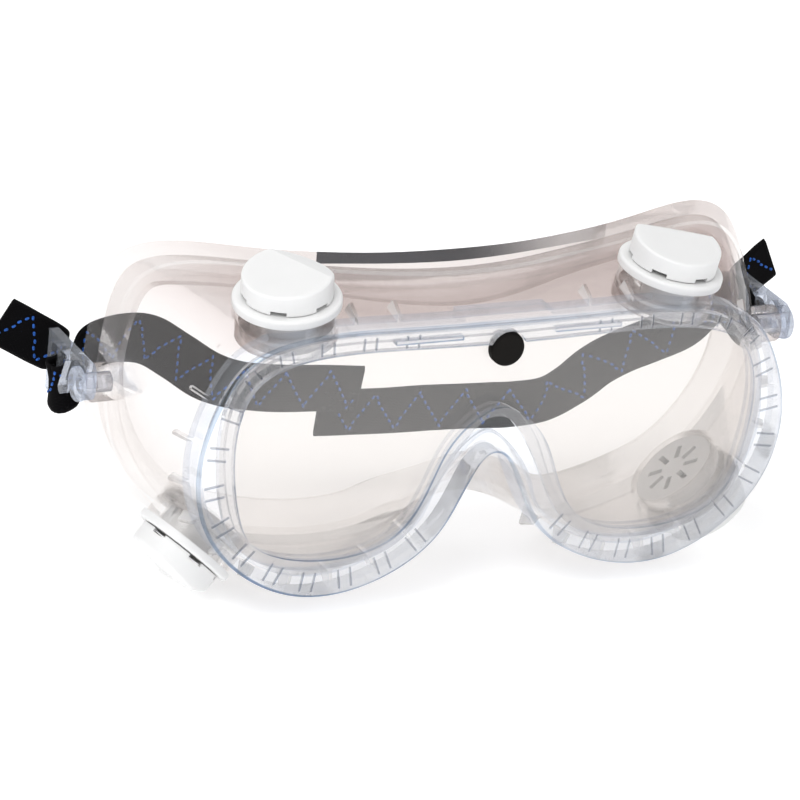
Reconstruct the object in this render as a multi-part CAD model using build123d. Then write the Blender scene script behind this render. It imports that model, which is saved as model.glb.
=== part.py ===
from build123d import *
import os
from math import atan2, cos, degrees, exp, hypot, radians, sin

# Ventilated safety goggles with an elastic headband, worn over spectacles.
# All lengths are millimetres. X runs across the face, +Y towards the wearer, +Z up.
# The origin is on the symmetry plane, in the flat front face of the rim.

# Half shapes run this far past the middle before they are cut off and mirrored.
OVERLAP = 2.0

# --- rim and lens -----------------------------------------------------------
RIM_DEPTH = 9.0
BEAD_RADIUS = 1.6
FRONT_LIP = 2.4
LENS_THICKNESS = 2.0
LENS_GROOVE_CLEARANCE = 0.05
LENS_OVERLAP = 3.2
REAR_LIP = 1.6
REAR_LIP_STEP = 0.6

# Right half of the rim's outer edge as (x, z), from the brow to the nose arch.
RIM_HALF = [
    (0, 27.0),
    (20, 27.1),
    (40, 27.4),
    (57, 26.0),
    (68, 21.8),
    (76.3, 10.0),
    (80, -5.2),
    (77.3, -20.5),
    (66.7, -34.0),
    (50, -42.0),
    (32, -40.8),
    (13.6, -29.3),
    (5.2, -13.5),
    (0, -8.5),
]

# Right half of the viewing window as (x, z).
WINDOW_HALF = [
    (0, 21.0),
    (20, 21.3),
    (40, 21.6),
    (56, 20.0),
    (65, 16.0),
    (70, 6.0),
    (70.2, -7.4),
    (67.5, -20.0),
    (61, -28.5),
    (45, -32.5),
    (27, -29.0),
    (16.5, -13.5),
    (7.5, 0.5),
    (0, 4.0),
]

# Right half of the skirt where it meets the face, as (x, z); its depth follows the face curve.
SKIRT_HALF = [
    (0, 31.0),
    (25, 31.3),
    (50, 33.0),
    (73, 34.4),
    (85.5, 29.5),
    (91.5, 14.0),
    (92.3, 0.0),
    (88, -15.0),
    (76, -31.5),
    (58, -40.5),
    (40, -42.5),
    (23, -37.5),
    (9, -30.0),
    (0, -27.0),
]

# --- soft skirt -------------------------------------------------------------
SKIRT_START = 7.0
WALL = 1.8
WALL_STEP = 2.5
SKIRT_PLANES = [7.0, 18.0, 32.0, 54.0]
SEAL_WIDTH = 9.0
SEAL_THICKNESS = 1.6
LIP_WIDTH = 8.0
LIP_RISE = 0.8

# --- rim ribs ---------------------------------------------------------------
RIB_COUNT = 15
RIB_WIDTH = 3.2
RIB_LINE = 0.5
RIB_LINE_DEPTH = 0.35
BROW_LEVEL = 12.0
BROW_LINE_LENGTH = 3.2
SIDE_LINE_LENGTH = 5.0
FIN_THICKNESS = 0.9

# --- vents ------------------------------------------------------------------
VENT_TOP = (52.2, 17.8, 29.0)
VENT_TOP_DIRECTION = (0.12, -0.12, 0.985)
VENT_BOTTOM = (70.2, 24.0, -35.2)
VENT_BOTTOM_DIRECTION = (0.66, -0.12, -0.74)
VENT_CAP_TURNS = {"top_left": 25, "top_right": 75, "bottom_left": 10, "bottom_right": -20}
BOSS_RADIUS = 12.6
BOSS_HEIGHT = 5.0
COLLAR_HEIGHT = 9.0
FLANGE_ROOM = 0.3
SLEEVE_RADIUS = 9.0
SLEEVE_BORE = 7.6
SLEEVE_LENGTH = 7.0
FLANGE_RADIUS = 13.4
FLANGE_THICKNESS = 2.2
HUB_RADIUS = 3.8
HUB_LENGTH = 5.2
STEM_RADIUS = 2.0
RUNNING_CLEARANCE = 0.05
HOOD_RADIUS = 11.2
HOOD_WALL = 1.4
HOOD_GAP = 0.3
RETAINER_RADIUS = 11.4
RETAINER_THICKNESS = 1.5

# --- lens plug --------------------------------------------------------------
PLUG_HEIGHT = 19.3
PLUG_RADIUS = 4.5
PLUG_STEM_RADIUS = 2.4
PLUG_BARB_RADIUS = 2.9

# --- headband clips ---------------------------------------------------------
PIVOT_Y = 35.0
PIVOT_Z = 4.5
LUG_RADIUS = 4.8
LUG_FACE = 94.4
CLIP_FACE = 94.6
CLIP_THICKNESS = 2.4
FINGER_WIDTH = 2.4
INNER_FINGER_Y = 48.0
OUTER_FINGER_Y = 54.0
PIN_RADIUS = 2.5
PIN_HEAD_RADIUS = 4.4
PIN_HEAD_HEIGHT = 1.4
PIN_DEPTH = 5.0

# --- headband ---------------------------------------------------------------
BAND_WIDTH = 12.7
BAND_THICKNESS = 1.4
BAND_CLIP_Z = 1.0

# Right-hand plan of the band as (x, y), from the end of its tail, past the outer finger,
# round the inner finger and back inside to the skirt's edge.
BAND_ROUND_CLIP = [
    (106, 63.5),
    (101, 61.6),
    (96.5, 59.4),
    (93.5, 57.2),
    (93.4, 54.6),
    (95.2, 52.4),
    (97.6, 51.2),
    (98.2, 49.2),
    (97.4, 47.2),
    (95.4, 46.6),
    (93.6, 47.6),
    (92.0, 49.6),
    (88, 52),
]


def knots(half):
    """Distance along a half outline to each of its points."""
    total = 0.0
    spacing = [0.0]
    for here, after in zip(half, half[1:]):
        total += hypot(after[0] - here[0], after[1] - here[1])
        spacing.append(total)
    return spacing


def inset(half, distance):
    """A half outline moved inward, square to itself; a negative distance moves it out."""
    last = len(half) - 1
    moved = []
    for i, (x, z) in enumerate(half):
        before = half[i - 1] if i > 0 else (-half[1][0], half[1][1])
        after = half[i + 1] if i < last else (-half[last - 1][0], half[last - 1][1])
        run = after[0] - before[0]
        rise = after[1] - before[1]
        length = hypot(run, rise)
        moved.append((x + distance * rise / length, z - distance * run / length))
    return moved


def outline_face(half, y):
    """The right half of a flat face across the goggles at depth y, a little past the middle."""
    plane = Plane.XZ.offset(-y)
    top = half[0]
    bottom = half[-1]
    curve = Edge.make_spline(half, tangents=[(1, 0), (-1, 0)], parameters=knots(RIM_HALF))
    square = Polyline(bottom, (-OVERLAP, bottom[1]), (-OVERLAP, top[1]), top)
    return plane * make_face(curve + square)


def slab(half, y_start, y_end):
    """The outline carried straight back from y_start to y_end."""
    return extrude(outline_face(half, y_start), amount=y_start - y_end)


def face_depth(x, z):
    """How far back the wearer's face lies: deep at the temples, shallow at the nose."""
    brow = 37 + 13.2 * min(1.0, (x / 80) ** 2)
    cheek = 44.5 - 24.5 * exp(-((x / 33) ** 2))
    height = min(1.0, max(0.0, (z + 30) / 64))
    share = height**3
    return cheek + (brow - cheek) * share


def behind_face(shift):
    """Everything behind the face curve on the right side, moved forward by shift."""
    across = [-10, 0, 16, 33, 52, 78, 105]
    sections = []
    for z in (-60, -30, -8, 14, 34, 60):
        points = [(x, face_depth(x, z) - shift) for x in across]
        curve = Edge.make_spline(points, parameters=[x + 10 for x in across])
        rear = Polyline(points[-1], (105, 95), (-10, 95), points[0])
        sections.append(Plane.XY.offset(z) * make_face(curve + rear))
    return loft(sections)


def skirt_half(y):
    """Half outline of the skirt's outside at depth y, on straight lines from rim to face."""
    points = []
    for front, rear in zip(inset(RIM_HALF, WALL_STEP), SKIRT_HALF):
        depth = face_depth(rear[0], rear[1])
        share = (y - SKIRT_START) / (depth - SKIRT_START)
        if share > 1:
            share = 1 + 0.3 * (share - 1)
        x = front[0] + share * (rear[0] - front[0])
        z = front[1] + share * (rear[1] - front[1])
        points.append((x, z))
    return points


def skirt_form(distance):
    """The solid inside the skirt's surface, moved inward by distance."""
    return loft([outline_face(inset(skirt_half(y), distance), y) for y in SKIRT_PLANES])


def both_halves(right):
    """A right half cut off square at the middle, joined to its mirror image."""
    right &= Pos(100, 0, 0) * Box(200, 200, 200)
    return right + mirror(right, about=Plane.YZ)


def vent_plane(name):
    """Plane on the outer end of a vent boss, with its normal pointing out of the goggles."""
    if name.startswith("top"):
        position = VENT_TOP
        direction = VENT_TOP_DIRECTION
    else:
        position = VENT_BOTTOM
        direction = VENT_BOTTOM_DIRECTION
    side = -1 if name.endswith("left") else 1
    origin = (side * position[0], position[1], position[2])
    normal = (side * direction[0], direction[1], direction[2])
    return Plane(origin=origin, x_dir=(1, 0, -normal[0] / normal[2]), z_dir=normal)


def rim_ring():
    """The channel that grips the lens: front lip, groove and rear lip, with a rounded outer bead."""
    sections = []
    for angle in (0, 30, 60, 90):
        in_by = BEAD_RADIUS * (1 - sin(radians(angle)))
        back_by = BEAD_RADIUS * (1 - cos(radians(angle)))
        sections.append(outline_face(inset(RIM_HALF, in_by), back_by))
    sections.append(outline_face(RIM_HALF, RIM_DEPTH))
    ring = loft(sections, ruled=True)
    ring -= slab(WINDOW_HALF, -1, RIM_DEPTH + 1)
    groove_edge = inset(WINDOW_HALF, -LENS_OVERLAP - LENS_GROOVE_CLEARANCE)
    groove_front = FRONT_LIP - LENS_GROOVE_CLEARANCE
    groove_back = FRONT_LIP + LENS_THICKNESS + LENS_GROOVE_CLEARANCE
    ring -= slab(groove_edge, groove_front, groove_back)
    ring -= slab(inset(WINDOW_HALF, -REAR_LIP_STEP), groove_back - 0.1, RIM_DEPTH + 1)
    hollow = inset(RIM_HALF, WALL_STEP + WALL / 2)
    ring -= slab(hollow, groove_back + REAR_LIP, RIM_DEPTH + 1)
    notch = Cylinder(PLUG_RADIUS + 0.4, 2 * FRONT_LIP, rotation=(90, 0, 0))
    ring -= Pos(0, 0, PLUG_HEIGHT) * notch
    barb_room = Cylinder(PLUG_BARB_RADIUS + 0.1, 2 * RIM_DEPTH, rotation=(90, 0, 0))
    ring -= Pos(0, 0, PLUG_HEIGHT) * barb_room
    ring -= Pos(21.5, 0, 23.4) * Box(18, 3 * FRONT_LIP, 1.0)
    return ring + Pos(0, 5, 27.2) * Box(24, 7, 2.4)


def rib_places():
    """Points and outward directions spaced evenly along the rim, past the pull tab and short of the nose."""
    edge = Edge.make_spline(RIM_HALF, tangents=[(1, 0), (-1, 0)], parameters=knots(RIM_HALF))
    places = []
    for i in range(RIB_COUNT):
        share = 0.12 + 0.74 * i / (RIB_COUNT - 1)
        point = edge @ share
        along = edge % share
        outward = Vector(-along.Y, 0, along.X)
        places.append((Vector(point.X, 0, point.Y), outward))
    return places


def rib_lines():
    """Shallow radial lines that frame each rib on the flat of the rim's front face."""
    lines = []
    for point, outward in rib_places():
        length = BROW_LINE_LENGTH if point.Z > BROW_LEVEL else SIDE_LINE_LENGTH
        plane = Plane(origin=point, x_dir=outward, z_dir=(0, 1, 0))
        for step in (-RIB_WIDTH / 2, RIB_WIDTH / 2):
            line = Box(length, RIB_LINE, 2 * RIB_LINE_DEPTH)
            lines.append(plane * Pos(-BEAD_RADIUS - 0.4 - length / 2, step, 0) * line)
    return lines


def fins():
    """Small gussets between the back of the rim and the skirt, one behind each rib."""
    gussets = []
    for point, outward in rib_places():
        plane = Plane(origin=point, x_dir=outward, z_dir=(outward.Z, 0, -outward.X))
        profile = Polyline((-4, RIM_DEPTH - 1), (-0.5, RIM_DEPTH - 1), (2.2, 13), (-4, 18), close=True)
        if plane.y_dir.Y < 0:
            plane = Plane(origin=point, x_dir=outward, z_dir=(-outward.Z, 0, outward.X))
        gusset = extrude(make_face(profile), amount=FIN_THICKNESS / 2, both=True)
        gussets.append(plane * gusset)
    return gussets


def clip_lug():
    """Round lug on the skirt's side that carries a headband clip."""
    lug = Cylinder(LUG_RADIUS, LUG_FACE - 84, rotation=(0, 90, 0))
    return Pos((LUG_FACE + 84) / 2, PIVOT_Y, PIVOT_Z) * lug


def vent_room():
    """Space cut from a boss: the sleeve's bore, the flange's seat above and the retainer's pocket below."""
    bore = Cylinder(SLEEVE_RADIUS + RUNNING_CLEARANCE, 4 * BOSS_HEIGHT)
    flange_room = Cylinder(FLANGE_RADIUS + FLANGE_ROOM, BOSS_HEIGHT)
    pocket = Cylinder(RETAINER_RADIUS + FLANGE_ROOM, 2 * BOSS_HEIGHT)
    room = bore + Pos(0, 0, BOSS_HEIGHT / 2) * flange_room
    return room + Pos(0, 0, -2 * BOSS_HEIGHT) * pocket


def goggle_body():
    """The one-piece soft frame: rim, skirt, face seal, vent bosses and clip lugs."""
    outside = skirt_form(0)
    middle = skirt_form(WALL / 2)
    walls = outside + (fins() + [clip_lug()])
    walls -= skirt_form(WALL)
    lip = (skirt_form(-LIP_RISE) - middle) & behind_face(LIP_WIDTH)
    seal = (middle - skirt_form(SEAL_WIDTH)) & behind_face(SEAL_THICKNESS)
    body = walls + rim_ring()
    body += lip
    body += seal
    for name in ("top_right", "bottom_right"):
        boss = Pos(0, 0, -COLLAR_HEIGHT / 2) * Cylinder(BOSS_RADIUS, COLLAR_HEIGHT)
        body += vent_plane(name) * boss
    body -= behind_face(0)
    for name in ("top_right", "bottom_right"):
        body -= vent_plane(name) * vent_room()
    socket = Cylinder(PIN_RADIUS, PIN_DEPTH, rotation=(0, 90, 0))
    body -= Pos(LUG_FACE - PIN_DEPTH / 2, PIVOT_Y, PIVOT_Z) * socket
    body -= rib_lines()
    return both_halves(body)


def lens():
    """Flat clear lens whose edge fills the groove in the rim."""
    front = FRONT_LIP
    back = FRONT_LIP + LENS_THICKNESS
    plate = both_halves(slab(inset(WINDOW_HALF, -LENS_OVERLAP), front, back))
    hole = Cylinder(PLUG_STEM_RADIUS + RUNNING_CLEARANCE, 20, rotation=(90, 0, 0))
    return plate - Pos(0, 0, PLUG_HEIGHT) * hole


def lens_plug():
    """Domed push-in plug whose stem passes through the lens."""
    head = Cylinder(PLUG_RADIUS, FRONT_LIP - 0.1)
    head = fillet(head.faces().sort_by(Axis.Z)[-1].edges(), 0.9)
    head = Pos(0, 0, (FRONT_LIP - 0.1) / 2) * head
    stem_length = LENS_THICKNESS + 0.15
    stem = Pos(0, 0, -stem_length / 2) * Cylinder(PLUG_STEM_RADIUS, stem_length)
    barb = Pos(0, 0, -stem_length - 0.8) * Cone(PLUG_STEM_RADIUS - 0.6, PLUG_BARB_RADIUS, 1.6)
    seat = Plane(origin=(0, FRONT_LIP, PLUG_HEIGHT), x_dir=(1, 0, 0), z_dir=(0, -1, 0))
    return seat * (head + stem + barb)


def vent_seat():
    """Flanged sleeve through the boss, with a three-spoke hub for the cap's stem."""
    flange = Pos(0, 0, FLANGE_THICKNESS / 2) * Cylinder(FLANGE_RADIUS, FLANGE_THICKNESS)
    flange = fillet(flange.edges().group_by(Axis.Z)[-1], 0.8)
    seat = flange + Pos(0, 0, -SLEEVE_LENGTH / 2) * Cylinder(SLEEVE_RADIUS, SLEEVE_LENGTH)
    seat -= Cylinder(SLEEVE_BORE, 4 * SLEEVE_LENGTH)
    hub_middle = FLANGE_THICKNESS - 0.4 - HUB_LENGTH / 2
    seat += Pos(0, 0, hub_middle) * Cylinder(HUB_RADIUS, HUB_LENGTH)
    for turn in (0, 120, 240):
        spoke = Pos(5.6, 0, hub_middle) * Box(4.6, 1.6, HUB_LENGTH - 1)
        seat += Rot(0, 0, turn) * spoke
    return seat - Cylinder(STEM_RADIUS + RUNNING_CLEARANCE, 4 * SLEEVE_LENGTH)


def hood_form(drop, radius):
    """Round hood with a ridge across it: a long shallow slope one way, a short steep one the other."""
    floor = FLANGE_THICKNESS + HOOD_GAP
    roof = Polyline(
        (-15, 0),
        (15, 0),
        (15, 2.4 - drop),
        (4.5, 6.6 - drop),
        (-15, 4.4 - drop),
        close=True,
    )
    prism = extrude(Plane.XZ * make_face(roof), amount=15, both=True)
    hood = Pos(0, 0, 5) * Cylinder(radius, 10) & prism
    return Pos(0, 0, floor) * hood


def vent_cap():
    """Hooded cap that turns on the seat's hub and is held by a barb under it."""
    hood = hood_form(0, HOOD_RADIUS)
    hood = fillet(hood.edges().filter_by(lambda e: e.center().Z > FLANGE_THICKNESS + 2), 0.7)
    hollow = hood_form(HOOD_WALL, HOOD_RADIUS - HOOD_WALL)
    cap = hood - Pos(0, 0, -0.01) * hollow
    floor = FLANGE_THICKNESS + HOOD_GAP
    for turn in range(0, 360, 60):
        notch = Pos(HOOD_RADIUS, 0, floor) * Box(6, 4, 2.0)
        cap -= Rot(0, 0, turn + 30) * notch
    hub_bottom = FLANGE_THICKNESS - 0.4 - HUB_LENGTH
    stem_top = floor + 5.2
    stem_bottom = hub_bottom - 1.2
    stem = Cylinder(STEM_RADIUS, stem_top - stem_bottom)
    cap += Pos(0, 0, (stem_top + stem_bottom) / 2) * stem
    barb = Cone(STEM_RADIUS - 0.4, STEM_RADIUS + 0.6, 1.2)
    return cap + Pos(0, 0, hub_bottom - 0.8) * barb


def vent_retainer():
    """Slotted baffle cup that grips the sleeve's inner end and clamps the boss."""
    top = -BOSS_HEIGHT - 0.02
    bottom = -SLEEVE_LENGTH - 0.1 - RETAINER_THICKNESS
    cup = Pos(0, 0, (top + bottom) / 2) * Cylinder(RETAINER_RADIUS, top - bottom)
    cup = fillet(cup.edges().group_by(Axis.Z)[0], 0.8)
    bore_bottom = -SLEEVE_LENGTH - 0.1
    bore = Cylinder(SLEEVE_RADIUS + 0.02, top - bore_bottom)
    cup -= Pos(0, 0, (top + bore_bottom) / 2) * bore
    for turn in range(0, 360, 45):
        slot = Pos(5.6, 0, bottom) * Box(4.4, 1.5, 4 * RETAINER_THICKNESS)
        cup -= Rot(0, 0, turn) * slot
    return cup


def strap_clip():
    """Right-hand clip: a plate on the pivot, a top arm, and two fingers hanging from the arm."""
    middle = CLIP_FACE + CLIP_THICKNESS / 2
    arm_bottom = BAND_CLIP_Z + BAND_WIDTH / 2 + 0.6
    arm_top = arm_bottom + 2.4
    rear_end = OUTER_FINGER_Y + FINGER_WIDTH
    plate_height = arm_top - PIVOT_Z + 3.7
    clip = Pos(middle, 38, arm_top - plate_height / 2) * Box(CLIP_THICKNESS, 14.4, plate_height)
    clip = fillet(clip.edges().filter_by(Axis.X), 3.0)
    arm = Box(CLIP_THICKNESS, rear_end - PIVOT_Y, arm_top - arm_bottom)
    clip += Pos(middle, (rear_end + PIVOT_Y) / 2, (arm_top + arm_bottom) / 2) * arm
    finger_bottom = BAND_CLIP_Z - BAND_WIDTH / 2
    for y in (INNER_FINGER_Y, OUTER_FINGER_Y):
        finger = Box(CLIP_THICKNESS, FINGER_WIDTH, arm_top - finger_bottom)
        clip += Pos(middle, y + FINGER_WIDTH / 2, (arm_top + finger_bottom) / 2) * finger
    hook = Pos(CLIP_FACE + CLIP_THICKNESS + 0.6, 42.0, 3.4) * Rot(24, 0, 0) * Box(2.0, 2.6, 10)
    clip += fillet(hook.edges().filter_by(Axis.X), 1.0)
    bore = Cylinder(PIN_RADIUS + RUNNING_CLEARANCE, 20, rotation=(0, 90, 0))
    return clip - Pos(middle, PIVOT_Y, PIVOT_Z) * bore


def clip_pin():
    """Right-hand rivet, pressed into the lug, that the clip turns on."""
    shank_start = LUG_FACE - PIN_DEPTH
    shank_end = CLIP_FACE + CLIP_THICKNESS + 0.2
    shank = Cylinder(PIN_RADIUS, shank_end - shank_start, rotation=(0, 90, 0))
    pin = Pos((shank_start + shank_end) / 2, 0, 0) * shank
    head = Cylinder(PIN_HEAD_RADIUS, PIN_HEAD_HEIGHT, rotation=(0, 90, 0))
    head = Pos(shank_end + PIN_HEAD_HEIGHT / 2, 0, 0) * head
    pin += fillet(head.edges().group_by(Axis.X)[-1], 0.7)
    return Pos(0, PIVOT_Y, PIVOT_Z) * pin


def band(plan, middle_line):
    """Webbing of even thickness along a plan curve; middle_line gives its mid-height as (x, z)."""
    path = Spline(*plan)
    section = Plane(origin=path @ 0, x_dir=(0, 0, 1), z_dir=path % 0)
    wall = sweep(section * Rectangle(90, BAND_THICKNESS), path=path)
    upper = Spline(*[(x, z + BAND_WIDTH / 2) for x, z in middle_line])
    lower = Spline(*[(x, z - BAND_WIDTH / 2) for x, z in middle_line])
    ends = Line(upper @ 0, lower @ 0) + Line(upper @ 1, lower @ 1)
    outline = make_face(upper + lower + ends)
    return wall & extrude(Plane.XZ * outline, amount=-100)


def strap_left():
    """Left half of the headband, from its free tail round the clip finger to the sewn lap."""
    plan = [(-x, y) for x, y in BAND_ROUND_CLIP]
    plan += [(-80, 53.5), (-62, 57), (-45, 60), (-28, 61.5), (-8, 61.5)]
    middle_line = [(-110, 11), (-104, 7.5), (-98, 2), (-94, 1), (-90, 1), (-80, 5)]
    middle_line += [(-62, 1.5), (-45, -8.5), (-28, -14), (-6, -16)]
    return band(plan, middle_line)


def strap_right():
    """Right half of the headband, from its free tail round the clip finger to the sewn lap."""
    plan = list(BAND_ROUND_CLIP)
    plan += [(80, 53.5), (62, 57.5), (43, 61.5), (13, 63), (-6, 63.2), (-19, 63.2)]
    middle_line = [(110, 11), (104, 7.5), (98, 2), (94, 1), (90, 1), (76, -2), (63, -8)]
    middle_line += [(52, -16), (40, -23), (13, -23.6), (-21, -22.6)]
    return band(plan, middle_line)


def strap_stitching():
    """Thread that sews the lap: a rectangle with a cross in it."""
    width = 9.0
    height = 5.0
    thread = 0.5
    seam = Rectangle(width, height) - Rectangle(width - 2 * thread, height - 2 * thread)
    turn = degrees(atan2(height - thread, width - thread))
    for angle in (-turn, turn):
        seam += Rot(0, 0, angle) * Rectangle(hypot(width, height) - 2 * thread, thread)
    plane = Plane(origin=(-13.2, 61.5 - BAND_THICKNESS / 2 - 0.05, -19), x_dir=(1, 0, 0), z_dir=(0, -1, 0))
    return plane * extrude(seam, amount=0.4)


def export(node, shape):
    """Write one node to its own file."""
    export_step(shape, f"parts/{node}.step")


os.makedirs("parts", exist_ok=True)
export("goggle_body", goggle_body())
export("lens", lens())
export("lens_plug", lens_plug())
for vent, turn in VENT_CAP_TURNS.items():
    place = vent_plane(vent)
    export(f"vent_seat_{vent}", place * vent_seat())
    export(f"vent_cap_{vent}", place * Rot(0, 0, turn) * vent_cap())
    export(f"vent_retainer_{vent}", place * vent_retainer())
export("strap_clip_right", strap_clip())
export("strap_clip_left", mirror(strap_clip(), about=Plane.YZ))
export("clip_pin_right", clip_pin())
export("clip_pin_left", mirror(clip_pin(), about=Plane.YZ))
export("strap_right", strap_right())
export("strap_left", strap_left())
export("strap_stitching", strap_stitching())
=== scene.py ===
from math import cos, pi, radians, sin

import bpy
from mathutils import Matrix, Vector


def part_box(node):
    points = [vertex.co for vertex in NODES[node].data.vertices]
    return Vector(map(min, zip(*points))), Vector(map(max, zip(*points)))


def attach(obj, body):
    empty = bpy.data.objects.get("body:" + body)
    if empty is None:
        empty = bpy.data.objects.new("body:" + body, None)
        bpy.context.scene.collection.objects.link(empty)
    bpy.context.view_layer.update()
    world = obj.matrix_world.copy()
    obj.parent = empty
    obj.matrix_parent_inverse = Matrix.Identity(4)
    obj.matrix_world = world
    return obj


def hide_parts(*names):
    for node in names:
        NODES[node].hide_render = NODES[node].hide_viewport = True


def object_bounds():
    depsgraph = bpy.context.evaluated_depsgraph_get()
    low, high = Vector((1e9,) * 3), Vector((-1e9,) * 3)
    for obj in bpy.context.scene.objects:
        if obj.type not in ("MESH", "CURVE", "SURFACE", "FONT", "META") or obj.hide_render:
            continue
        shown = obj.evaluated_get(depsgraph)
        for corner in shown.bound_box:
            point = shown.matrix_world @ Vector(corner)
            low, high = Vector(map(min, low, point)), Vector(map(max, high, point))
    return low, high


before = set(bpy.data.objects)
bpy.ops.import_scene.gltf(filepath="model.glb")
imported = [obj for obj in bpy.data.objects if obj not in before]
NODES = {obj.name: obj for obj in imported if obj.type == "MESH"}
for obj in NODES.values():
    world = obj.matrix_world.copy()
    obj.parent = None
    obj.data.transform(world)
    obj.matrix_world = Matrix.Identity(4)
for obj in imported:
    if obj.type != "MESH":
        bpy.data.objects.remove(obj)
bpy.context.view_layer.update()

MM = 0.001
VENTS = ("top_left", "top_right", "bottom_left", "bottom_right")

# Headband webbing.
BAND_WIDTH = 12.7 * MM
BAND_THICKNESS = 1.4 * MM
BAND_STEP = 0.6 * MM
RIB_SPACING = 0.85 * MM
PICK_SPACING = 1.1 * MM

# Blue thread in a dotted zigzag along the webbing.
STITCH_SPACING = 2.0 * MM
STITCH_LENGTH = 1.15 * MM
STITCH_RADIUS = 0.36 * MM
STITCH_END_GAP = 1.2 * MM
ZIGZAG_HALF_PERIOD = 6.4 * MM
ZIGZAG_REACH = 4.9 * MM

# Black thread that sews the lap, as a crossed box across the band.
SEAM_SPACING = 1.6 * MM
SEAM_LENGTH = 1.2 * MM
SEAM_RADIUS = 0.24 * MM
LAP_LENGTH = 10.5 * MM
LAP_LOW = -5.4 * MM
LAP_HIGH = -1.0 * MM
LAP_END_SHARE = 0.994

# Share of the webbing's half thickness at which a stitch is centred.
STITCH_SINK = 0.9

# Places where the body's look changes: depths behind the front face, and for the dark streak its
# reach across the brow and its lowest height.
RIM_END = (8.5 * MM, 10.5 * MM)
BEAD_LINE = (0.15 * MM, 0.95 * MM)
GROOVE_LINE = (0.28 * MM, 0.42 * MM)
STREAK_REACH = (-35 * MM, 46 * MM)
STREAK_FLOOR = 29.3 * MM
FIN_REACH = (9.05 * MM, 18.2 * MM)
GROOVE_WALLS = (2.2 * MM, 6.4 * MM)

# Camera: angles in degrees, distance in metres, focal length and shift in picture elements.
CAMERA_YAW = -27.3
CAMERA_PITCH = 22.5
CAMERA_ROLL = 5.93
CAMERA_DISTANCE = 1.30
PICTURE_WIDTH = 800
FOCAL_LENGTH = 5329.0
SHIFT_RIGHT = 101.0
SHIFT_DOWN = 23.1
SENSOR_WIDTH = 36


# --- node material helpers ----------------------------------------------------


class Nodes:
    """A material and short calls for adding and joining its nodes."""

    def __init__(self, name):
        self.material = bpy.data.materials.new(name)
        self.material.use_nodes = True
        self.tree = self.material.node_tree
        self.tree.nodes.clear()
        self.output = self.tree.nodes.new("ShaderNodeOutputMaterial")

    def add(self, kind, **inputs):
        node = self.tree.nodes.new("ShaderNode" + kind)
        for key, value in inputs.items():
            socket = node.inputs[int(key[1:])] if key[0] == "i" and key[1:].isdigit() else node.inputs[key]
            self.put(socket, value)
        return node

    def put(self, socket, value):
        if isinstance(value, bpy.types.NodeSocket):
            self.tree.links.new(value, socket)
        else:
            socket.default_value = value

    def math(self, operation, a, b=0.0, c=0.0):
        node = self.tree.nodes.new("ShaderNodeMath")
        node.operation = operation
        for socket, value in zip(node.inputs, (a, b, c)):
            self.put(socket, value)
        return node.outputs[0]

    def smooth(self, value, low, high):
        node = self.tree.nodes.new("ShaderNodeMapRange")
        node.interpolation_type = "SMOOTHSTEP"
        for socket, item in zip(node.inputs, (value, low, high, 0.0, 1.0)):
            self.put(socket, item)
        return node.outputs[0]

    def blend(self, factor, a, b):
        node = self.tree.nodes.new("ShaderNodeMix")
        node.data_type = "RGBA"
        self.put(node.inputs[0], factor)
        self.put(node.inputs[6], a)
        self.put(node.inputs[7], b)
        return node.outputs[2]

    def place(self):
        """Object coordinates, which are the frame's own metres."""
        node = self.tree.nodes.new("ShaderNodeTexCoord")
        return node.outputs["Object"]

    def split(self, vector):
        node = self.tree.nodes.new("ShaderNodeSeparateXYZ")
        self.put(node.inputs[0], vector)
        return node.outputs

    def noise(self, vector, scale, detail=3.0, roughness=0.5):
        node = self.tree.nodes.new("ShaderNodeTexNoise")
        self.put(node.inputs["Vector"], vector)
        node.inputs["Scale"].default_value = scale
        node.inputs["Detail"].default_value = detail
        node.inputs["Roughness"].default_value = roughness
        return node.outputs[0]

    def bump(self, height, distance, strength=1.0):
        node = self.tree.nodes.new("ShaderNodeBump")
        node.inputs["Strength"].default_value = strength
        node.inputs["Distance"].default_value = distance
        self.put(node.inputs["Height"], height)
        return node.outputs[0]

    def finish(self, shader):
        self.tree.links.new(shader, self.output.inputs["Surface"])
        return self.material


def rgb(r, g, b):
    return (r, g, b, 1.0)


def clear_shell(nodes, clear, veil, haze_colour, gloss, normal, limit=5.0, steepness=1.0, buried=0.0):
    """A thin clear layer that loses light at a slant, scatters a little and mirrors; buried hides it."""
    facing = nodes.add("LayerWeight", Blend=0.5)
    nodes.put(facing.inputs["Normal"], normal)
    slant = nodes.math("SUBTRACT", 1.0, facing.outputs["Facing"])
    path = nodes.math("DIVIDE", 1.0, nodes.math("MAXIMUM", slant, 1.0 / limit))
    path = nodes.math("POWER", path, steepness)
    parts = nodes.tree.nodes.new("ShaderNodeSeparateColor")
    nodes.put(parts.inputs[0], clear)
    joined = nodes.tree.nodes.new("ShaderNodeCombineColor")
    for i in range(3):
        nodes.put(joined.inputs[i], nodes.math("POWER", parts.outputs[i], path))
    through = nodes.add("BsdfTransparent", Color=joined.outputs[0])
    haze = nodes.add("BsdfDiffuse", Color=haze_colour, Normal=normal)
    body = nodes.add("MixShader", i0=veil, i1=through.outputs[0], i2=haze.outputs[0])
    mirror = nodes.add("BsdfGlossy", Color=rgb(1, 1, 1), Roughness=gloss, Normal=normal)
    fresnel = nodes.add("Fresnel", IOR=1.45, Normal=normal)
    share = nodes.math("MULTIPLY", fresnel.outputs[0], 0.55)
    layer = nodes.add("MixShader", i0=share, i1=body.outputs[0], i2=mirror.outputs[0])
    unseen = nodes.add("BsdfTransparent", Color=rgb(1, 1, 1))
    return nodes.add("MixShader", i0=buried, i1=layer.outputs[0], i2=unseen.outputs[0]).outputs[0]


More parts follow.
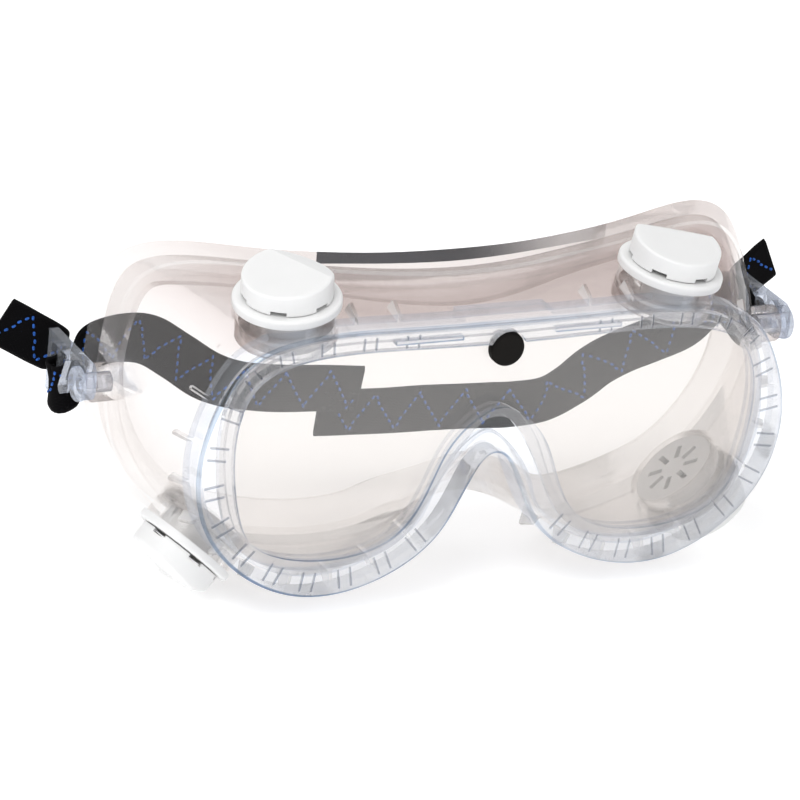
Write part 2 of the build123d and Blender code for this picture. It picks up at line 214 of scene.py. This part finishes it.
def face_curve(nodes, x, z):
    """How far back the skirt's rear edge lies, as a node value in metres."""
    brow_reach = nodes.math("DIVIDE", x, 80 * MM)
    brow_rise = nodes.math("MINIMUM", 1.0, nodes.math("MULTIPLY", brow_reach, brow_reach))
    brow = nodes.math("MULTIPLY_ADD", brow_rise, 13.2 * MM, 37 * MM)
    nose_reach = nodes.math("DIVIDE", x, 33 * MM)
    nose_fall = nodes.math("MULTIPLY", nodes.math("MULTIPLY", nose_reach, nose_reach), -1.0)
    cheek = nodes.math("MULTIPLY_ADD", nodes.math("EXPONENT", nose_fall), -24.5 * MM, 44.5 * MM)
    height = nodes.math("DIVIDE", nodes.math("ADD", z, 30 * MM), 64 * MM)
    height = nodes.math("MINIMUM", 1.0, nodes.math("MAXIMUM", 0.0, height))
    share = nodes.math("POWER", height, 3.0)
    rise = nodes.math("SUBTRACT", brow, cheek)
    return nodes.math("MULTIPLY_ADD", rise, share, cheek)


def between(nodes, value, low, high):
    """1 where low < value < high, else 0."""
    above = nodes.math("GREATER_THAN", value, low)
    below = nodes.math("LESS_THAN", value, high)
    return nodes.math("MULTIPLY", above, below)


def vinyl_material():
    """Clear soft vinyl: warm walls, a duskier top panel, a painted cool dark reflection along the rounded
    front edge, painted highlights on the fins and painted shade in the rib grooves.
    """
    nodes = Nodes("clear_vinyl")
    place = nodes.place()
    x, y, z = nodes.split(place)
    geometry = nodes.add("NewGeometry")
    _, ny, nz = nodes.split(geometry.outputs["True Normal"])
    flat = nodes.math("ABSOLUTE", ny)
    level = nodes.math("ABSOLUTE", nz)
    rim = nodes.math("SUBTRACT", 1.0, nodes.smooth(y, *RIM_END))
    behind = nodes.math("SUBTRACT", y, face_curve(nodes, x, z))
    top = nodes.math("MULTIPLY", nodes.smooth(level, 0.30, 0.85), nodes.smooth(z, 14 * MM, 20 * MM))
    top = nodes.math("MULTIPLY", top, nodes.smooth(y, 9 * MM, 11 * MM))
    rear_band = nodes.smooth(behind, -9 * MM, -7.5 * MM)
    top = nodes.math("MULTIPLY", top, nodes.math("MULTIPLY_ADD", rear_band, -0.6, 1.0))
    clouds = nodes.noise(place, 60.0, 4.0)
    upward = nodes.smooth(z, -30 * MM, 15 * MM)
    clear = nodes.blend(upward, rgb(0.991, 0.988, 0.986), rgb(0.957, 0.948, 0.944))
    clear = nodes.blend(rim, clear, rgb(0.966, 0.972, 0.983))
    clear = nodes.blend(top, clear, rgb(0.925, 0.902, 0.896))
    clear = nodes.blend(nodes.math("MULTIPLY", clouds, 0.06), clear, rgb(0.90, 0.88, 0.87))
    # Painted reflection: a dark bluish line along the rounded front edge, stronger to the left and patchy.
    bead_reflection = between(nodes, y, *BEAD_LINE)
    bead_reflection = nodes.math("MULTIPLY", bead_reflection, nodes.math("LESS_THAN", flat, 0.985))
    leftward = nodes.smooth(nodes.math("MULTIPLY", x, -1.0), -50 * MM, 60 * MM)
    patchy = nodes.smooth(nodes.noise(place, 38.0, 2.0), 0.35, 0.6)
    bead_reflection = nodes.math("MULTIPLY", bead_reflection, nodes.math("MULTIPLY_ADD", leftward, 0.75, 0.25))
    bead_reflection = nodes.math("MULTIPLY", bead_reflection, nodes.math("MULTIPLY_ADD", patchy, 0.7, 0.3))
    clear = nodes.blend(bead_reflection, clear, rgb(0.62, 0.70, 0.80))
    # Painted shade on the floors of the rib grooves.
    groove_shade = between(nodes, y, *GROOVE_LINE)
    groove_shade = nodes.math("MULTIPLY", groove_shade, nodes.math("GREATER_THAN", flat, 0.985))
    clear = nodes.blend(groove_shade, clear, rgb(0.66, 0.67, 0.70))
    end_face = nodes.smooth(behind, -1.6 * MM, -0.9 * MM)
    end_face = nodes.math("MULTIPLY", end_face, nodes.math("GREATER_THAN", z, STREAK_FLOOR))
    end_face = nodes.math("MULTIPLY", end_face, nodes.smooth(flat, 0.5, 0.7))
    streak = nodes.math("MULTIPLY", end_face, between(nodes, x, *STREAK_REACH))
    thinning = nodes.smooth(x, 0.0, 38 * MM)
    streak = nodes.math("MULTIPLY", streak, nodes.math("MULTIPLY_ADD", thinning, -0.72, 1.0))
    clear = nodes.blend(streak, clear, rgb(0.02, 0.023, 0.036))
    # Painted highlight: the thin fins get a strong white veil standing in for the light they catch.
    fin_highlight = between(nodes, y, *FIN_REACH)
    fin_highlight = nodes.math("MULTIPLY", fin_highlight, nodes.math("LESS_THAN", flat, 0.03))
    veil = nodes.math("MULTIPLY_ADD", rim, 0.03, 0.04)
    veil = nodes.math("MAXIMUM", veil, nodes.math("MULTIPLY", fin_highlight, 0.42))
    ripple = nodes.noise(place, 220.0, 2.0)
    waves = nodes.noise(place, 45.0, 2.0)
    height = nodes.math("MULTIPLY_ADD", ripple, 0.2, waves)
    normal = nodes.bump(height, 0.6 * MM, 0.35)
    veil_colour = nodes.blend(rim, rgb(0.93, 0.91, 0.90), rgb(0.93, 0.95, 0.98))
    veil_colour = nodes.blend(fin_highlight, veil_colour, rgb(0.99, 0.99, 0.99))
    buried = between(nodes, y, *GROOVE_WALLS)
    buried = nodes.math("MULTIPLY", buried, nodes.smooth(flat, 0.9, 0.97))
    buried = nodes.math("MULTIPLY", buried, 0.85)
    shader = clear_shell(nodes, clear, veil, veil_colour, 0.09, normal, 2.1, 2.0, buried)
    return nodes.finish(shader)


def lens_material():
    """Polished clear lens with a faint white veil, fine scuffs and a trace of haze."""
    nodes = Nodes("clear_lens")
    place = nodes.place()
    scuffs = nodes.noise(place, 900.0, 5.0, 0.7)
    marks = nodes.smooth(scuffs, 0.60, 0.72)
    clouds = nodes.noise(place, 35.0, 3.0)
    veil = nodes.math("ADD", 0.085, nodes.math("MULTIPLY", clouds, 0.02))
    veil = nodes.math("ADD", veil, nodes.math("MULTIPLY", marks, 0.02))
    normal = nodes.bump(clouds, 0.2 * MM, 0.1)
    clear = rgb(0.930, 0.915, 0.903)
    geometry = nodes.add("NewGeometry")
    flat = nodes.math("ABSOLUTE", nodes.split(geometry.outputs["True Normal"])[1])
    edge = nodes.math("MULTIPLY", nodes.math("LESS_THAN", flat, 0.5), 0.9)
    shader = clear_shell(nodes, clear, veil, rgb(0.97, 0.96, 0.95), 0.04, normal, 3.0, 1.0, edge)
    return nodes.finish(shader)


def clip_material():
    """Clear hard plastic with a cool cast and crisp reflections."""
    nodes = Nodes("clear_plastic")
    place = nodes.place()
    clouds = nodes.noise(place, 150.0, 3.0)
    clear = nodes.blend(clouds, rgb(0.93, 0.94, 0.96), rgb(0.86, 0.88, 0.92))
    normal = nodes.bump(clouds, 0.3 * MM, 0.25)
    veil = nodes.math("ADD", 0.09, nodes.math("MULTIPLY", clouds, 0.06))
    return nodes.finish(clear_shell(nodes, clear, veil, rgb(0.86, 0.89, 0.94), 0.06, normal))


def vent_material():
    """White moulded plastic with a fine satin grain and a faintly patchy tone."""
    nodes = Nodes("white_plastic")
    place = nodes.place()
    grain = nodes.noise(place, 1400.0, 4.0, 0.65)
    clouds = nodes.noise(place, 90.0, 3.0)
    colour = nodes.blend(clouds, rgb(0.80, 0.80, 0.795), rgb(0.86, 0.86, 0.855))
    roughness = nodes.math("ADD", 0.38, nodes.math("MULTIPLY", grain, 0.16))
    normal = nodes.bump(grain, 0.05 * MM, 0.5)
    shader = nodes.add("BsdfPrincipled", Roughness=roughness, Normal=normal)
    nodes.put(shader.inputs["Base Color"], colour)
    shader.inputs["IOR"].default_value = 1.46
    shader.inputs["Subsurface Weight"].default_value = 0.25
    shader.inputs["Subsurface Radius"].default_value = (0.003, 0.003, 0.003)
    shader.inputs["Subsurface Scale"].default_value = 1.0
    return nodes.finish(shader.outputs[0])


def rubber_material():
    """Matt black rubber, a little browner and smoother where it is worn."""
    nodes = Nodes("black_rubber")
    place = nodes.place()
    grain = nodes.noise(place, 2200.0, 4.0, 0.7)
    clouds = nodes.noise(place, 260.0, 3.0)
    colour = nodes.blend(clouds, rgb(0.002, 0.0016, 0.0012), rgb(0.009, 0.007, 0.006))
    roughness = nodes.math("ADD", 0.5, nodes.math("MULTIPLY", clouds, 0.25))
    normal = nodes.bump(grain, 0.06 * MM, 0.7)
    shader = nodes.add("BsdfPrincipled", Roughness=roughness, Normal=normal)
    nodes.put(shader.inputs["Base Color"], colour)
    shader.inputs["Specular IOR Level"].default_value = 0.12
    return nodes.finish(shader.outputs[0])


def webbing_material():
    """Black elastic webbing: ribs along its length, a crossing weave, soft sheen and faded edges.
    The UV map holds metres along and across the band."""
    nodes = Nodes("elastic_webbing")
    uv = nodes.tree.nodes.new("ShaderNodeUVMap")
    uv.uv_map = "band"
    u, v, _ = nodes.split(uv.outputs[0])
    rib_phase = nodes.math("MULTIPLY", v, 2 * pi / RIB_SPACING)
    ribs = nodes.math("ABSOLUTE", nodes.math("SINE", rib_phase))
    row = nodes.math("FLOOR", nodes.math("DIVIDE", v, RIB_SPACING / 2))
    shift = nodes.math("MULTIPLY", row, pi)
    pick = nodes.math("ADD", nodes.math("MULTIPLY", u, 2 * pi / PICK_SPACING), shift)
    picks = nodes.math("ADD", nodes.math("MULTIPLY", nodes.math("SINE", pick), 0.5), 0.5)
    weave = nodes.math("MULTIPLY", ribs, nodes.math("ADD", nodes.math("MULTIPLY", picks, 0.6), 0.4))
    fuzz = nodes.noise(nodes.place(), 2600.0, 5.0, 0.75)
    patches = nodes.noise(nodes.place(), 120.0, 3.0)
    height = nodes.math("ADD", weave, nodes.math("MULTIPLY", fuzz, 0.25))
    normal = nodes.bump(height, 0.08 * MM, 0.4)
    edge = nodes.smooth(nodes.math("ABSOLUTE", v), 5.2 * MM, 6.35 * MM)
    colour = nodes.blend(weave, rgb(0.0006, 0.0006, 0.0009), rgb(0.0042, 0.0038, 0.0046))
    colour = nodes.blend(nodes.math("MULTIPLY", patches, 0.3), colour, rgb(0.006, 0.0055, 0.006))
    colour = nodes.blend(nodes.math("MULTIPLY", edge, 0.4), colour, rgb(0.009, 0.0085, 0.009))
    shader = nodes.add("BsdfPrincipled", Roughness=0.86, Normal=normal)
    nodes.put(shader.inputs["Base Color"], colour)
    shader.inputs["Specular IOR Level"].default_value = 0.06
    shader.inputs["Sheen Weight"].default_value = 0.008
    shader.inputs["Sheen Roughness"].default_value = 0.4
    return nodes.finish(shader.outputs[0])


def thread_material(name, dark, light):
    """Twisted sewing thread, mottled lighter and darker along its twist."""
    nodes = Nodes(name)
    place = nodes.place()
    twist = nodes.noise(place, 3200.0, 3.0, 0.6)
    colour = nodes.blend(nodes.smooth(twist, 0.35, 0.7), dark, light)
    normal = nodes.bump(twist, 0.06 * MM, 0.8)
    shader = nodes.add("BsdfPrincipled", Roughness=0.6, Normal=normal)
    nodes.put(shader.inputs["Base Color"], colour)
    shader.inputs["Sheen Weight"].default_value = 0.04
    shader.inputs["Specular IOR Level"].default_value = 0.2
    return nodes.finish(shader.outputs[0])


def floor_material():
    """Pale matt floor that glows a little, so that it meets the white room without an edge."""
    nodes = Nodes("floor")
    speckle = nodes.noise(nodes.place(), 30.0, 2.0)
    colour = nodes.blend(speckle, rgb(0.93, 0.93, 0.93), rgb(0.95, 0.95, 0.95))
    shader = nodes.add("BsdfPrincipled", Roughness=0.7)
    nodes.put(shader.inputs["Base Color"], colour)
    shader.inputs["Specular IOR Level"].default_value = 0.1
    nodes.put(shader.inputs["Emission Color"], colour)
    shader.inputs["Emission Strength"].default_value = 0.35
    return nodes.finish(shader.outputs[0])


# --- headband ------------------------------------------------------------------


def curve_through(points, spacing):
    """Points at even spacing along a smooth (Catmull-Rom) curve through the given points."""
    ends = [points[0] * 2 - points[1]] + points + [points[-1] * 2 - points[-2]]
    dense = []
    for a, b, c, d in zip(ends, ends[1:], ends[2:], ends[3:]):
        for i in range(24):
            t = i / 24
            dense.append(
                0.5
                * (
                    2 * b
                    + (c - a) * t
                    + (2 * a - 5 * b + 4 * c - d) * t * t
                    + (3 * b - 3 * c + d - a) * t * t * t
                )
            )
    dense.append(points[-1])
    path = [dense[0]]
    for point in dense[1:]:
        while (point - path[-1]).length >= spacing:
            path.append(path[-1] + (point - path[-1]).normalized() * spacing)
    return path


def band_frames(points, leans):
    """(point, along, across, out) along the band; leans are its tips outward in degrees, one per point."""
    controls = [Vector(p) for p in points]
    path = curve_through(controls, BAND_STEP)
    frames = []
    for i, point in enumerate(path):
        before = path[max(0, i - 1)]
        after = path[min(len(path) - 1, i + 1)]
        along = (after - before).normalized()
        weights = [(1.0 / max((point - c).length, 1e-5)) ** 3 for c in controls]
        lean = sum(w * l for w, l in zip(weights, leans)) / sum(weights)
        up = Vector((0, 0, 1))
        across = (up - along * up.dot(along)).normalized()
        across = Matrix.Rotation(radians(lean), 3, along) @ across
        out = along.cross(across)
        frames.append((point, along, across, out))
    return frames


def band_profile():
    """Cross-section of the webbing as (across, out): rounded edges a touch thicker than the middle."""
    half = BAND_WIDTH / 2
    thin = BAND_THICKNESS / 2
    steps = 14
    face = []
    for i in range(steps + 1):
        share = i / steps * 2 - 1
        edge = abs(share) ** 6
        lift = thin * (0.86 + 0.14 * abs(share) ** 3) * (1 - 0.75 * edge**3)
        face.append((share * half, lift))
    return face + [(a, -o) for a, o in reversed(face)]


def mesh_object(name, vertices, faces, uvs=None):
    mesh = bpy.data.meshes.new(name)
    mesh.from_pydata(vertices, [], faces)
    if uvs:
        layer = mesh.uv_layers.new(name="band")
        for loop in mesh.loops:
            layer.data[loop.index].uv = uvs[loop.vertex_index]
    mesh.update()
    mesh.polygons.foreach_set("use_smooth", [True] * len(mesh.polygons))
    obj = bpy.data.objects.new(name, mesh)
    bpy.context.scene.collection.objects.link(obj)
    return obj


def band_object(name, frames):
    """The webbing itself, as one closed skin along its frames."""
    profile = band_profile()
    vertices = []
    uvs = []
    distance = 0.0
    last = frames[0][0]
    for point, _, across, out in frames:
        distance += (point - last).length
        last = point
        for a, o in profile:
            ripple = 0.10 * MM * sin(distance / (4.1 * MM)) * (a / BAND_WIDTH)
            vertices.append(point + across * (a + ripple) + out * o)
            uvs.append((distance, a))
    count = len(profile)
    faces = []
    for i in range(len(frames) - 1):
        for j in range(count):
            k = (j + 1) % count
            faces.append((i * count + j, (i + 1) * count + j, (i + 1) * count + k, i * count + k))
    faces.append(tuple(range(count)))
    faces.append(tuple(reversed(range((len(frames) - 1) * count, len(frames) * count))))
    return mesh_object(name, vertices, faces, uvs)


def capsule(centre, along, across, out, length, radius):
    """Vertices and faces of one flattened stitch."""
    rings = ((-0.5, 0.25), (-0.38, 0.8), (0.0, 1.0), (0.38, 0.8), (0.5, 0.25))
    sides = 6
    vertices = []
    for step, size in rings:
        for k in range(sides):
            angle = 2 * pi * k / sides
            vertices.append(
                centre + along * (step * length) + across * (cos(angle) * size * radius)
                + out * (sin(angle) * size * radius * 0.8)
            )
    faces = []
    for i in range(len(rings) - 1):
        for k in range(sides):
            n = (k + 1) % sides
            faces.append((i * sides + k, i * sides + n, (i + 1) * sides + n, (i + 1) * sides + k))
    faces.append(tuple(reversed(range(sides))))
    faces.append(tuple(range((len(rings) - 1) * sides, len(rings) * sides)))
    return vertices, faces


def zigzag_stitches(name, frames):
    """Blue thread in a dotted zigzag, showing on both faces of the webbing."""
    vertices = []
    faces = []
    step = (frames[1][0] - frames[0][0]).length
    slope = 2 * ZIGZAG_REACH / ZIGZAG_HALF_PERIOD
    stride = STITCH_SPACING / (1 + slope * slope) ** 0.5
    total = step * (len(frames) - 1)
    distance = STITCH_END_GAP
    while distance < total - STITCH_END_GAP:
        part = distance / ZIGZAG_HALF_PERIOD % 2
        rising = part < 1
        level = (part if rising else 2 - part) * 2 - 1
        point, along, across, out = frames[min(len(frames) - 1, round(distance / step))]
        direction = (along + across * (slope if rising else -slope)).normalized()
        sideways = out.cross(direction).normalized()
        for side in (-1, 1):
            lift = side * (BAND_THICKNESS / 2 * STITCH_SINK)
            centre = point + across * (level * ZIGZAG_REACH) + out * lift
            more, cells = capsule(centre, direction, sideways, out, STITCH_LENGTH, STITCH_RADIUS)
            base = len(vertices)
            vertices += more
            faces += [tuple(base + i for i in cell) for cell in cells]
        distance += stride
    return mesh_object(name, vertices, faces)


def line_stitches(name, frames, runs):
    """Plain rows of stitches; each run is ((share, level), (share, level)), a share being along the band."""
    vertices = []
    faces = []
    for (s0, l0), (s1, l1) in runs:
        start = frames[round(s0 * (len(frames) - 1))]
        end = frames[round(s1 * (len(frames) - 1))]
        length = (end[0] + end[2] * l1 - start[0] - start[2] * l0).length
        count = max(2, round(length / SEAM_SPACING))
        for i in range(count):
            share = (i + 0.5) / count
            s = s0 + (s1 - s0) * share
            level = l0 + (l1 - l0) * share
            point, along, across, out = frames[round(s * (len(frames) - 1))]
            direction = along
            if l1 != l0:
                direction = ((end[0] + end[2] * l1) - (start[0] + start[2] * l0)).normalized()
            sideways = out.cross(direction).normalized()
            for side in (-1, 1):
                centre = point + across * level + out * (side * BAND_THICKNESS / 2 * STITCH_SINK)
                more, cells = capsule(centre, direction, sideways, out, SEAM_LENGTH, SEAM_RADIUS)
                base = len(vertices)
                vertices += more
                faces += [tuple(base + k for k in cell) for cell in cells]
    return mesh_object(name, vertices, faces)


clip_low, clip_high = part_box("strap_clip_right")
clip_inner_x = clip_low[0]
clip_rear_y = clip_high[1]
clip_floor_z = clip_low[2]


def round_clip(side):
    """Band from its free tail, inside the outer finger, round the inner finger and in behind the skirt."""
    from_clip = [
        (13.0, 5.8, 16.4, 0),
        (9.0, 4.8, 14.2, 0),
        (5.0, 3.5, 12.0, 0),
        (1.6, 2.3, 10.2, 0),
        (-0.6, 1.0, 9.0, 0),
        (-1.1, -0.6, 8.1, 0),
        (-1.1, -1.9, 7.2, 0),
        (0.6, -4.0, 5.4, 0),
        (3.0, -5.2, 4.0, -3),
        (3.6, -7.2, 3.2, -4),
        (2.8, -9.2, 3.4, -3),
        (0.8, -9.8, 4.6, 0),
        (-1.0, -8.8, 6.2, 0),
        (-2.8, -6.6, 8.4, 0),
        (-6.6, -4.2, 11.4, 0),
    ]
    points = []
    leans = []
    for dx, dy, dz, lean in from_clip:
        x = side * (clip_inner_x + dx * MM)
        points.append((x, clip_rear_y + dy * MM, clip_floor_z + dz * MM))
        leans.append(side * lean)
    return points, leans


def along_back(stations):
    """Stations behind the skirt as (x, y, z, lean), in mm, turned to points and leans."""
    points = [(x * MM, y * MM, z * MM) for x, y, z, _ in stations]
    return points, [lean for *_, lean in stations]


def build_headband():
    webbing = webbing_material()
    blue = thread_material("blue_thread", rgb(0.01, 0.06, 0.24), rgb(0.03, 0.16, 0.66))
    black = thread_material("black_thread", rgb(0.004, 0.004, 0.006), rgb(0.03, 0.03, 0.036))
    stations = {
        "left": [
            (-80, 53.5, 7.4, 0),
            (-71, 55.6, 5.4, 0),
            (-62, 57.2, -0.5, 0),
            (-53, 59, -7.0, 0),
            (-45, 60, -10.6, 0),
            (-36, 61, -12.8, 0),
            (-28, 61.5, -14, 0),
            (-18, 61.5, -14.8, 0),
            (-8, 61.5, -16, 0),
        ],
        "right": [
            (80, 53.5, -2.0, 0),
            (72, 55.6, -6.5, 0),
            (64, 57.5, -10.2, 0),
            (58, 59.0, -14.0, 0),
            (52, 60.5, -19.5, 0),
            (45, 61.4, -23.4, 0),
            (36, 62.2, -24.4, 0),
            (28, 62.7, -24.2, 0),
            (13, 63, -23.6, 0),
            (0, 63.1, -23.3, 0),
            (-10, 63.2, -22.8, 0),
            (-19, 63.2, -22.2, 0),
        ],
    }
    for side_name, side in (("left", -1), ("right", 1)):
        near_points, near_leans = round_clip(side)
        far_points, far_leans = along_back(stations[side_name])
        frames = band_frames(near_points + far_points, near_leans + far_leans)
        band = band_object(f"webbing_{side_name}", frames)
        band.data.materials.append(webbing)
        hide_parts(f"strap_{side_name}")
        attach(band, f"band_{side_name}")
        thread = zigzag_stitches(f"zigzag_thread_{side_name}", frames)
        thread.data.materials.append(blue)
        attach(thread, f"band_{side_name}")
        if side_name == "left":
            first = 1.0 - LAP_LENGTH / (BAND_STEP * (len(frames) - 1))
            runs = [
                ((first, LAP_LOW), (LAP_END_SHARE, LAP_LOW)),
                ((first, LAP_HIGH), (LAP_END_SHARE, LAP_HIGH)),
                ((first, LAP_LOW), (LAP_END_SHARE, LAP_HIGH)),
                ((first, LAP_HIGH), (LAP_END_SHARE, LAP_LOW)),
            ]
            seam = line_stitches("lap_seam", frames, runs)
            seam.data.materials.append(black)
            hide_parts("strap_stitching")
            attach(seam, "band_left")


# --- finish ----------------------------------------------------------------------


def dress(node, material):
    obj = NODES[node]
    obj.data.materials.clear()
    obj.data.materials.append(material)
    return obj


def dress_nodes():
    vinyl = vinyl_material()
    plastic = vent_material()
    clip = clip_material()
    dress("goggle_body", vinyl)
    dress("lens", lens_material())
    dress("lens_plug", rubber_material())
    for vent in VENTS:
        for piece in ("vent_seat", "vent_cap", "vent_retainer"):
            dress(f"{piece}_{vent}", plastic)
    for side in ("left", "right"):
        dress(f"strap_clip_{side}", clip)
        dress(f"clip_pin_{side}", clip)


def build_world():
    """A white room for the camera; mirrors and shading see a softer one, greyer towards the floor."""
    world = bpy.data.worlds.new("studio")
    bpy.context.scene.world = world
    world.use_nodes = True
    tree = world.node_tree
    tree.nodes.clear()
    output = tree.nodes.new("ShaderNodeOutputWorld")
    paths = tree.nodes.new("ShaderNodeLightPath")
    coords = tree.nodes.new("ShaderNodeTexCoord")
    parts = tree.nodes.new("ShaderNodeSeparateXYZ")
    tree.links.new(coords.outputs["Generated"], parts.inputs[0])
    ramp = tree.nodes.new("ShaderNodeValToRGB")
    ramp.color_ramp.elements[0].position = 0.0
    ramp.color_ramp.elements[0].color = (0.55, 0.57, 0.62, 1)
    ramp.color_ramp.elements[1].position = 1.0
    ramp.color_ramp.elements[1].color = (1.0, 1.0, 1.0, 1)
    height = tree.nodes.new("ShaderNodeMapRange")
    tree.links.new(parts.outputs[2], height.inputs[0])
    height.inputs[1].default_value = -0.4
    height.inputs[2].default_value = 0.7
    tree.links.new(height.outputs[0], ramp.inputs[0])
    white = tree.nodes.new("ShaderNodeBackground")
    white.inputs[0].default_value = (1, 1, 1, 1)
    white.inputs[1].default_value = 1.0
    room = tree.nodes.new("ShaderNodeBackground")
    tree.links.new(ramp.outputs[0], room.inputs[0])
    room.inputs[1].default_value = 0.78
    mix = tree.nodes.new("ShaderNodeMixShader")
    tree.links.new(paths.outputs["Is Camera Ray"], mix.inputs[0])
    tree.links.new(room.outputs[0], mix.inputs[1])
    tree.links.new(white.outputs[0], mix.inputs[2])
    tree.links.new(mix.outputs[0], output.inputs["Surface"])


def add_light(name, place, target, size, power):
    data = bpy.data.lights.new(name, "AREA")
    data.shape = "SQUARE"
    data.size = size
    data.energy = power
    obj = bpy.data.objects.new(name, data)
    bpy.context.scene.collection.objects.link(obj)
    obj.location = place
    obj.rotation_euler = (Vector(target) - Vector(place)).to_track_quat("-Z", "Y").to_euler()


def build_floor():
    """A large pale floor just under the lowest point."""
    low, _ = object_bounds()
    size = 6.0
    mesh = bpy.data.meshes.new("floor")
    corners = [(-size, -size, 0), (size, -size, 0), (size, size, 0), (-size, size, 0)]
    mesh.from_pydata([Vector(c) + Vector((0, 0, low[2] - 0.2 * MM)) for c in corners], [], [(0, 1, 2, 3)])
    floor = bpy.data.objects.new("floor", mesh)
    bpy.context.scene.collection.objects.link(floor)
    floor.data.materials.append(floor_material())


def build_camera():
    """Long lens from the front left and above, tipped a little."""
    yaw = radians(CAMERA_YAW)
    pitch = radians(CAMERA_PITCH)
    roll = radians(CAMERA_ROLL)
    shift_scale = CAMERA_DISTANCE / FOCAL_LENGTH
    back = Vector((sin(yaw) * cos(pitch), -cos(yaw) * cos(pitch), sin(pitch)))
    right = Vector((cos(yaw), sin(yaw), 0))
    up = back.cross(right)
    view_right = right * cos(roll) + up * sin(roll)
    view_up = up * cos(roll) - right * sin(roll)
    place = back * CAMERA_DISTANCE - view_right * (SHIFT_RIGHT * shift_scale)
    place += view_up * (SHIFT_DOWN * shift_scale)
    data = bpy.data.cameras.new("camera")
    data.sensor_width = SENSOR_WIDTH
    data.lens = FOCAL_LENGTH / PICTURE_WIDTH * SENSOR_WIDTH
    data.clip_start = 0.05
    data.clip_end = 20
    camera = bpy.data.objects.new("camera", data)
    bpy.context.scene.collection.objects.link(camera)
    camera.matrix_world = Matrix(
        (
            (view_right[0], view_up[0], back[0], place[0]),
            (view_right[1], view_up[1], back[1], place[1]),
            (view_right[2], view_up[2], back[2], place[2]),
            (0, 0, 0, 1),
        )
    )
    bpy.context.scene.camera = camera


def set_scene():
    scene = bpy.context.scene
    scene.view_settings.view_transform = "Standard"
    scene.cycles.transparent_max_bounces = 48
    scene.cycles.max_bounces = 16


dress_nodes()
build_headband()
build_world()
build_floor()
add_light("key", (-0.7, -0.5, 1.2), (0, 0, 0), 0.7, 9.0)
build_camera()
set_scene()
